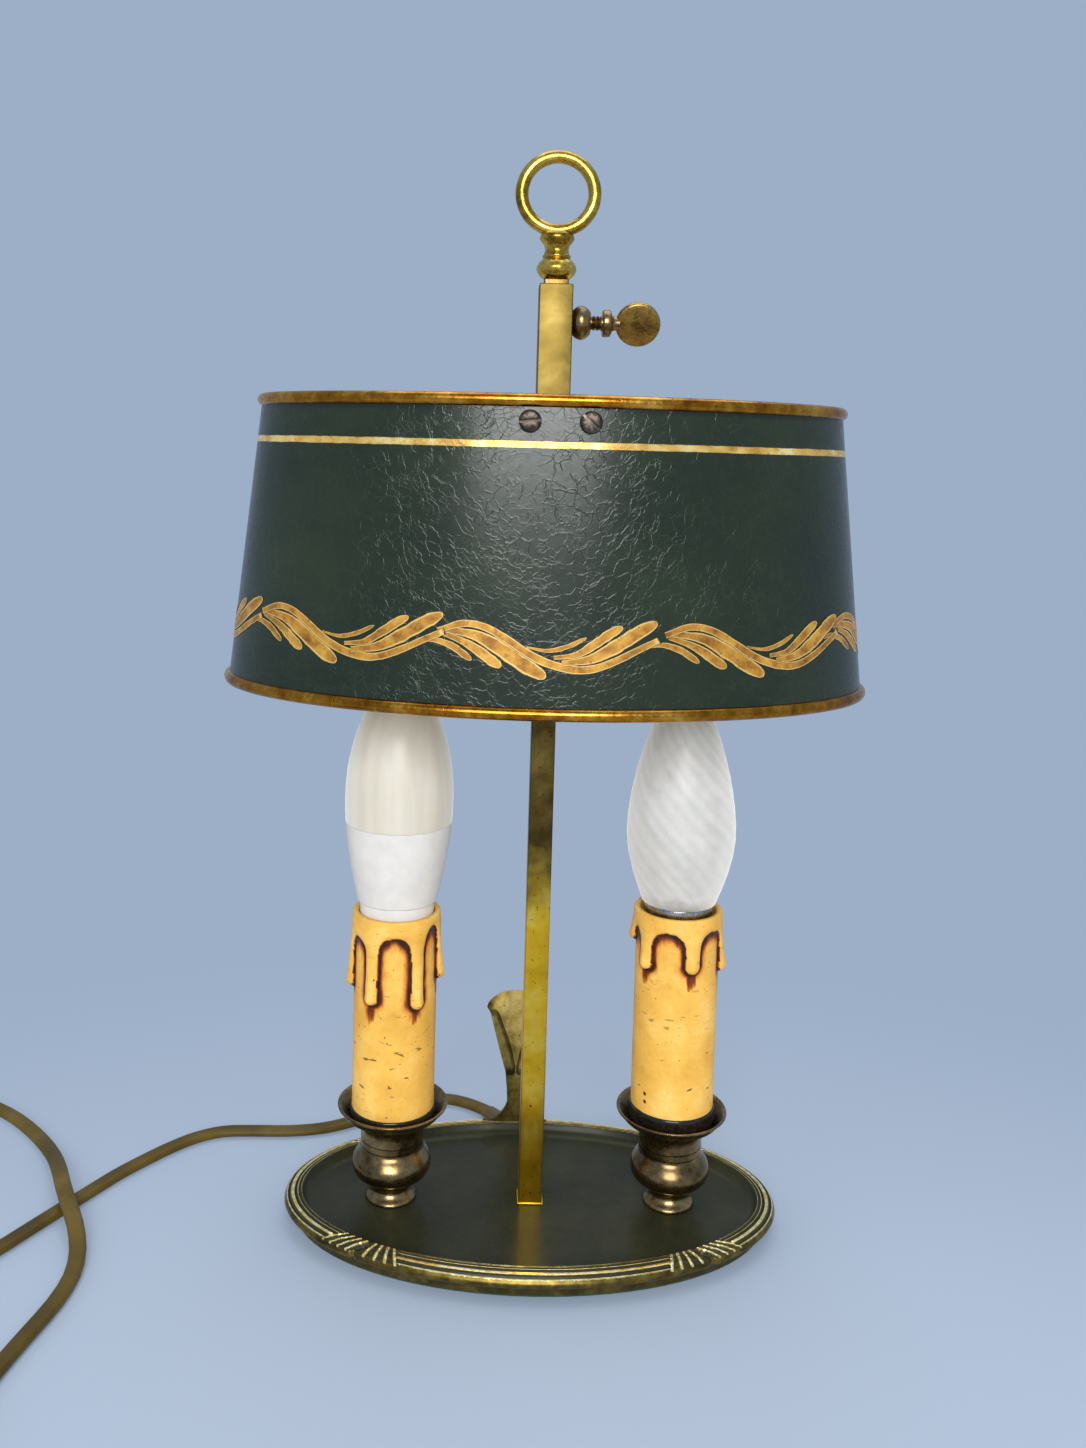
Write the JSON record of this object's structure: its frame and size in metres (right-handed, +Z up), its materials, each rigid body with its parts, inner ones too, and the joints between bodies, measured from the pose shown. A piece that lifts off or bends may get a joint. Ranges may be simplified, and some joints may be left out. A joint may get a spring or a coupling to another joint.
{
  "type": "bouillotte lamp",
  "caption": "Table lamp with two candle lights on an oval tray and an oval metal shade that slides on a square stem and is clamped by a thumb screw",
  "frame": {"origin": "centre of the shade's footprint on the table that the lamp stands on, leaving out the free cord", "axes": "+Z up along the stem, +X along the long side of the tray and the shade, +Y to the back where the thumb leaf and the cord are"},
  "size_m": [0.3854, 0.2274, 0.3584],
  "materials": {
    "tray_lacquer": "glossy dark green lacquer on cast brass, gold reeded rim",
    "shade_lacquer": "crackled dark green lacquer on sheet metal",
    "gilt_rim": "worn gilt over brass",
    "aged_brass": "satin aged brass",
    "bright_brass": "polished, lightly spotted brass",
    "patinated_brass": "turned and brown patinated brass",
    "screw_brass": "aged brass screw",
    "steel": "zinc plated steel",
    "candle_card": "moulded ivory resin with brown stained drips",
    "black_seat": "glossy black",
    "holder_plastic": "moulded thermoplastic",
    "contact_brass": "spring brass",
    "cap_nickel": "nickel plated screw cap",
    "led_white": "smooth white housing",
    "led_diffuse": "frosted polycarbonate diffuser",
    "board": "white circuit board",
    "frosted_glass": "frosted twisted glass",
    "clear_glass": "glass mount with filament",
    "felt": "green felt",
    "cord_pvc": "olive brown flexible PVC",
    "bush_rubber": "dark rubber",
    "switch_plastic": "moulded brown plastic",
    "rocker_plastic": "moulded dark plastic",
    "wire_red": "insulated wire",
    "wire_blue": "insulated wire",
    "pad_leather": "pressed leather disc"
  },
  "bodies": {
    "lamp": {"base_tray": "tray_lacquer", "thumb_leaf": "aged_brass", "ring_finial": "aged_brass", "felt_pad": "felt", "stem_bar": "bright_brass", "stem_screw": "steel", "nipple_nut_left": "steel", "nipple_nut_right": "steel", "holder_nut_left": "steel", "holder_nut_right": "steel", "candle_cup_left": "patinated_brass", "candle_cup_right": "patinated_brass", "drip_pan_left": "patinated_brass", "drip_pan_right": "patinated_brass", "seat_ring_left": "black_seat", "seat_ring_right": "black_seat", "nipple_left": "contact_brass", "nipple_right": "contact_brass", "holder_contact_left": "contact_brass", "holder_contact_right": "contact_brass", "switch_terminals": "contact_brass", "plug_pins": "contact_brass", "lamp_holder_left": "holder_plastic", "lamp_holder_right": "holder_plastic", "terminal_block": "holder_plastic", "candle_sleeve_left": "candle_card", "candle_sleeve_right": "candle_card", "led_cap": "cap_nickel", "flame_cap": "cap_nickel", "led_collar": "led_white", "led_housing": "led_white", "led_board": "board", "led_diffuser": "led_diffuse", "flame_mount": "clear_glass", "flame_glass": "frosted_glass", "leads_left": "wire_red", "leads_right": "wire_red", "flex_cores": "wire_blue", "cord_bush": "bush_rubber", "cord_run_in": "cord_pvc", "cord_run_out": "cord_pvc", "cord_coil": "cord_pvc", "cord_tail": "cord_pvc", "switch_base": "switch_plastic", "switch_cover": "switch_plastic", "plug_body": "switch_plastic"},
    "shade_carriage": {"slide_tube": "aged_brass", "screw_boss": "patinated_brass", "shade_bracket": "aged_brass", "shade_shell": "shade_lacquer", "shade_top_rim": "gilt_rim", "shade_bottom_rim": "gilt_rim", "shade_screws": "screw_brass", "shade_nuts": "screw_brass"},
    "screw_pad": {"pressure_pad": "pad_leather"},
    "thumb_screw": {"thumb_screw": "patinated_brass"},
    "rocker": {"switch_rocker": "rocker_plastic"}
  },
  "joints": [
    {"name": "shade_slide", "type": "slide", "parent": "lamp", "child": "shade_carriage", "axis": [0, 0, 1], "range_m": [-0.12, 0]},
    {"name": "thumb_advance", "type": "slide", "parent": "shade_carriage", "child": "screw_pad", "axis": [1, 0, 0], "range_m": [0, 0.0014]},
    {"name": "thumb_turn", "type": "hinge", "parent": "screw_pad", "child": "thumb_screw", "pos_m": [0.02, 0, 0.3028], "axis": [1, 0, 0], "range_deg": [0, 720]},
    {"name": "rocker_tip", "type": "hinge", "parent": "lamp", "child": "rocker", "pos_m": [-0.251, 0.007, 0.0118], "axis": [-1, 0, 0], "range_deg": [0, 20]}
  ],
  "couplings": [
    {"joint": "thumb_turn", "follows": "thumb_advance", "rad_per_m": 8976}
  ]
}
